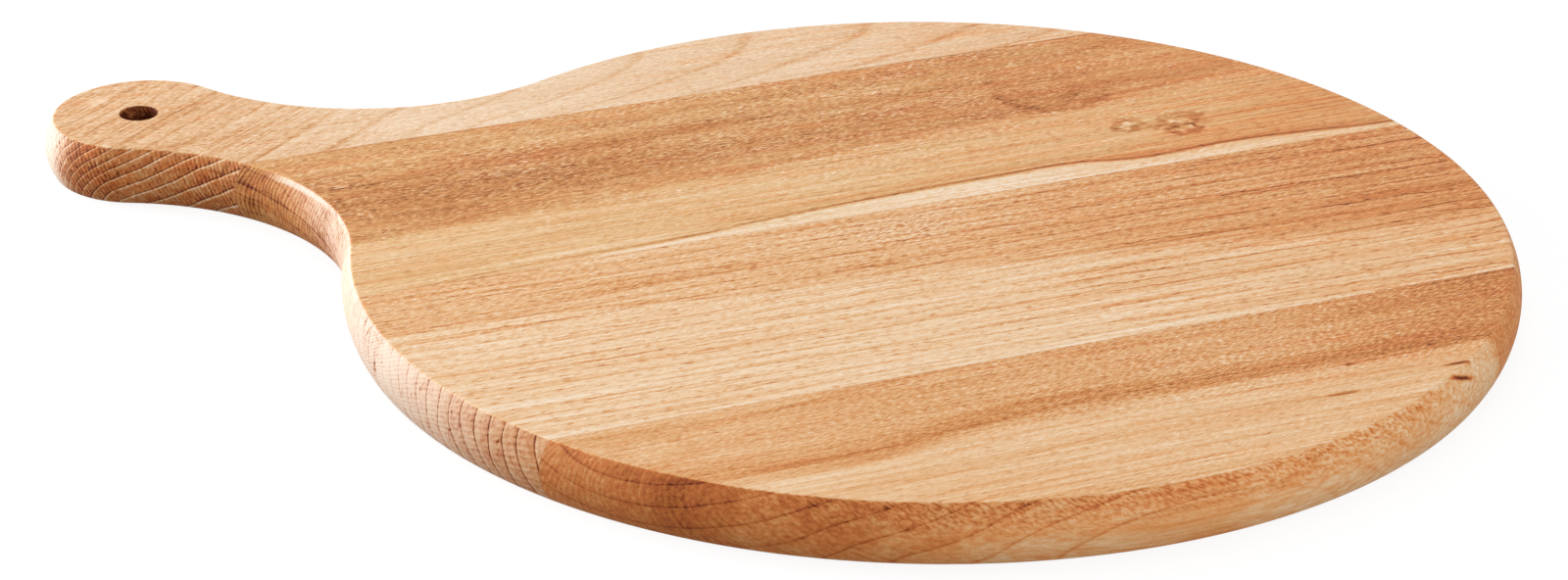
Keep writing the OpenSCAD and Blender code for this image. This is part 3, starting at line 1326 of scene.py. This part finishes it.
@dataclass(frozen=True)
class InnerFrontBeech(Beech):
    """Reddish beech over pale straight-grained beech with short dark flecks."""

    def rings(self, wood: Grain) -> tuple[object, object, float]:
        """Counts rings that stand nearly upright in the board."""
        count, rays = wood.round_pith((60.0, -20.0), 4.5)
        return count, rays, 100.0

    def figure(self, wood: Grain) -> None:
        """Lays in the red wood, its dark edge, the straight lines and a scuffed patch.

        Args:
            wood: the material's tree.
        """
        ragged = wood.plus(wood.v, wood.fibres(40.0, 1.6, 61.0), 5.0)
        edge = wood.course([
            (-150, -5), (-100, -8), (-60, -15), (-20, -18), (20, -25), (60, -31), (100, -38),
            (150, -39),
        ])
        red = wood.above(ragged, edge, 3.0)
        wood.lay(-0.15, red)
        right = wood.from_to(wood.u, -10.0, 130.0)
        wood.lay(-0.07, red, right)
        wood.lay(-0.05, right)
        dark = wood.beside(ragged, edge, 2.0)
        left = wood.from_to(wood.u, 10.0, -110.0)
        wood.lay(-0.19, dark, left)
        # Straight lines at a slight slant to the grain, the darkest of them as crisp grooves
        slope = wood.plus(wood.v, wood.u, 0.05)
        tilted = wood.add("CombineXYZ", [wood.u, slope, wood.z])
        wood.lay(0.40, wood.fibres(300.0, 1.3, 81.0, tilted))
        bend = wood.plus(slope, wood.fibres(30.0, 7.0, 83.0), 5.0)
        bend = wood.plus(bend, wood.fibres(2.6, 2.2, 87.0), 1.8)
        narrow = wood.add("Math", [bend, 4.2], operation="DIVIDE")
        narrow = wood.add("Math", [narrow], operation="FRACT")
        crisp = (
            (0.0, 0.12), (0.5, 0.10), (0.7, 0.05), (0.80, 1.0), (0.88, 1.0), (0.95, 0.0), (1.0, 0.0),
        )
        groove = wood.add("FloatCurve", {"Value": narrow}, points=crisp)
        strong = wood.fibres(70.0, 5.0, 85.0)
        strong = wood.from_to(wood.plus(strong, right, 0.08), -0.06, 0.24)
        wood.lay(-0.32, groove, strong)
        wood.lay(0.06, wood.from_to(wood.v, -70.5, -72.5))
        wood.lay(0.10, wood.from_to(wood.u, 60.0, 115.0), wood.side)
        wood.lay(-0.28, left, wood.from_to(wood.v, -115.0, -45.0), wood.side)

    def inked(self, wood: Grain) -> object:
        """Fades the ring lines towards the neck."""
        return wood.add("MapRange", [wood.v, -55.0, 10.0, 1.0, 0.35])

    def painted_glare(self, wood: Grain) -> object:
        """Paints glare on the rim on the left, where it faces the left lamp."""
        # Painted glare, pale and chalky, on the left-facing rim
        left = wood.from_to(wood.u, -60.0, -110.0)
        return wood.both(left, wood.from_to(wood.v, -101.0, 8.0), 0.76)

    def grit(self, wood: Grain) -> object:
        """Makes the strokes stronger in the red wood, and most of all in the scuffed patch.

        Args:
            wood: the material's tree.

        Returns:
            The strength, where 1 is the usual one.
        """
        patch = wood.from_to(wood.spot((-5.0, 6.0), (22.0, 12.0)), 1.0, 0.2)
        red = wood.add("MapRange", [wood.v, -45.0, 0.0, 0.55, 1.1])
        return wood.plus(red, patch, 1.2)


@dataclass(frozen=True)
class FrontBeech(Beech):
    """Reddish beech with a dark band over pale beech with soft arches and small bark marks."""

    def rings(self, wood: Grain) -> tuple[object, object, float]:
        """Counts rings that hang down from a stem above the board.

        Args:
            wood: the material's tree.

        Returns:
            The count of rings, the vector that the rays follow, and how many millimetres one
            unit of that vector's first part is.
        """
        arch = wood.course([(-130, 5), (-90, 7), (-60, 6), (-30, 3), (10, 0), (60, 2), (120, 4)])
        lifted = wood.add("Math", [wood.v, arch], operation="ADD")
        bowed = wood.add("CombineXYZ", [wood.u, lifted, wood.z])
        count, rays = wood.round_pith((-86.0, 50.0), 5.2, bowed)
        return wood.plus(count, 1.0, 0.73), rays, 40.0

    def figure(self, wood: Grain) -> None:
        """Lays in the red wood, the dark band, a faint rosette and the bark marks.

        Args:
            wood: the material's tree.
        """
        ragged = wood.plus(wood.v, wood.fibres(40.0, 2.0, 61.0), 3.0)
        edge = wood.course([
            (-130, -118), (-95, -113), (-60, -112), (-40, -108), (0, -107), (60, -107),
            (100, -107.5), (150, -105),
        ])
        red = wood.above(ragged, edge, 1.6)
        wood.lay(-0.13, red)
        pale = wood.from_to(red, 1.0, 0.0)
        lines = wood.fibres(110.0, 1.1, 63.0)
        wood.lay(0.28, lines, pale)
        band = wood.course([
            (-130, -102), (-100, -103), (-75, -107), (-58, -107), (-38, -103), (-15, -100),
            (20, -100), (60, -103), (120, -106),
        ])
        wood.lay(-0.12, wood.beside(ragged, band, 8.5), wood.from_to(wood.u, 118.0, 76.0))
        core = wood.beside(ragged, wood.plus(band, 1.0, 2.6), 2.2)
        middle = wood.beside(wood.u, 6.0, 45.0)
        wood.lay(-0.06, core, middle)
        right = wood.from_to(wood.u, 40.0, 125.0)
        wood.lay(-0.16, red, right)
        rosette = wood.spot((-108.0, -88.0), (11.0, 9.0), 14.0)
        wood.lay(-0.06, wood.beside(rosette, 0.8, 0.35))
        # Bark marks on the face, each with its place, size, depth and strength, and one on the rim
        marks = (
            ((54.5, -121.0), (5.0, 0.9), 3.0, -0.38),
            ((63.0, -107.6), (1.8, 0.8), 3.0, -0.30),
            ((88.0, -116.7), (5.0, 0.8), 1.2, -0.60),
        )
        for place, size, deep, gain in marks:
            wood.lay(gain, wood.from_to(wood.spot(place, size, deep), 1.3, 0.3))
        sunk = wood.add("Math", [wood.u, -0.414, 49.9], operation="MULTIPLY_ADD")
        wood.lay(-0.9, wood.beside(wood.z, sunk, 0.8), wood.beside(wood.u, 86.6, 6.5), wood.side)
        wood.lay(0.07, wood.from_to(wood.u, -50.0, -100.0))
        wood.lay(-0.16, wood.beside(wood.u, -84.0, 42.0), wood.side)
        # Painted light: the rim paler towards the right, where the right lamp falls on it
        wood.lay(0.08, wood.from_to(wood.u, -5.0, 45.0), wood.side)
        wood.lay(0.21, wood.from_to(wood.u, 40.0, 120.0), wood.side)

    def inked(self, wood: Grain) -> object:
        """Fades the ring lines towards the right."""
        return wood.add("MapRange", [wood.u, -20.0, 30.0, 1.0, 0.25])

    def grit(self, wood: Grain) -> object:
        """Makes the strokes stronger towards the right, and weaker in the pale wood."""
        right = wood.add("MapRange", [wood.u, -90.0, 20.0, 0.7, 1.2])
        return wood.both(right, wood.add("MapRange", [wood.v, -114.0, -105.0, 0.5, 1.0]))


@dataclass(frozen=True)
class CuredGlue:
    """Hard film of cured wood glue, sanded flush: a hair-thin line, slightly darker than beech."""

    name: str = "cured wood glue"

    def material(self) -> bpy.types.Material:
        """Writes the material.

        Returns:
            The finish of the glue lines.
        """
        material = bpy.data.materials.new(self.name)
        material.use_nodes = True
        sheet = Sheet(material.node_tree)
        sheet.tree.nodes.clear()
        place = sheet.add("TexCoord", out="Object")
        cloud = sheet.add("TexNoise", {"Vector": place, "Scale": 400.0, "Detail": 2.0})
        stops = ((0.3, "#a06c42"), (0.7, "#bf8c5f"))
        colour = sheet.add("ValToRGB", {"Fac": cloud}, stops=stops)
        rough = sheet.add("MapRange", [cloud, 0.0, 1.0, 0.35, 0.55])
        look = {"Base Color": colour, "Roughness": rough, "IOR": 1.5}
        shader = sheet.add("BsdfPrincipled", look)
        sheet.add("OutputMaterial", [shader], out=None)
        return material


@dataclass
class ServingBoard:
    """The four staves and the three glue lines between them."""

    shape: BoardShape = BoardShape()

    def build(self) -> None:
        """Cuts and dresses every piece."""
        cutter = StaveCutter(self.shape)
        cutter.build()
        staves = {
            "front_stave": FrontBeech(
                "beech, red with a pale edge", "beech_front_stave", hue=Hue.RED, tone=0.68, fleck=0.12,
                streak=0.48, ring=0.18, speckle=1.1, rim=-0.035, rim_ring=0.15, hatch=0.5, warm=-0.12,
            ),
            "inner_front_stave": InnerFrontBeech(
                "beech, straight grained", "beech_inner_front_stave", hue=Hue.RED, tone=0.78, fleck=0.24,
                streak=0.48, speckle=0.9, spark=0.14, stroke=(2.0, 0.4), seed=5.0, rim=-0.04,
                rim_ring=0.36, pale_line=0.1, oiled=0.3, warm=-0.1,
            ),
            "inner_back_stave": InnerBackBeech(
                "beech, brown heartwood", "beech_inner_back_stave", tone=0.66, fleck=0.16, streak=0.34,
                ring=0.14, speckle=1.35, spark=0.22, stroke=(1.6, 0.3), lean=math.radians(10.0),
                seed=9.0, rim=-0.03, rim_ring=0.14, hatch=1.3, oiled=0.2, warm=0.06,
            ),
            "handle_stave": HandleBeech(
                "beech, pale and arched", "beech_handle_stave", hue=Hue.PALE, tone=0.75, fleck=0.14,
                streak=0.45, ring=0.30, speckle=0.85, seed=2.0, rim=-0.06, rim_ring=0.36,
                rim_rings=1.45, hatch=1.6, pale_line=0.36, oiled=0.8, warm=-0.1,
            ),
        }
        for count, (node, beech) in enumerate(staves.items(), start=1):
            piece = cutter.make(node + "_beech", self.shape.strip(count), beech.material())
            self.dress(piece, node, beech.slot)
        glue = CuredGlue().material()
        for count, where in enumerate(("front", "middle", "back"), start=1):
            node = f"glue_line_{where}"
            self.dress(cutter.make(node + "_film", self.shape.film(count), glue), node, "wood_glue")

    def dress(self, piece: bpy.types.Object, node: str, slot: str) -> None:
        """Puts a piece in its CAD node's place and reports it.

        Args:
            piece: the piece.
            node: the CAD node that it stands for.
            slot: the record's material slot; it is not used.
        """
        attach(piece, "root")
        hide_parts(node)
        log.info("%s: %d faces", piece.name, len(piece.data.polygons))


def main() -> None:
    """Builds the camera, the studio and the board."""
    logging.basicConfig(level=logging.INFO, format="%(message)s")
    Camera().build()
    Studio().build()
    ServingBoard().build()


if __name__ == "__main__":
    main()
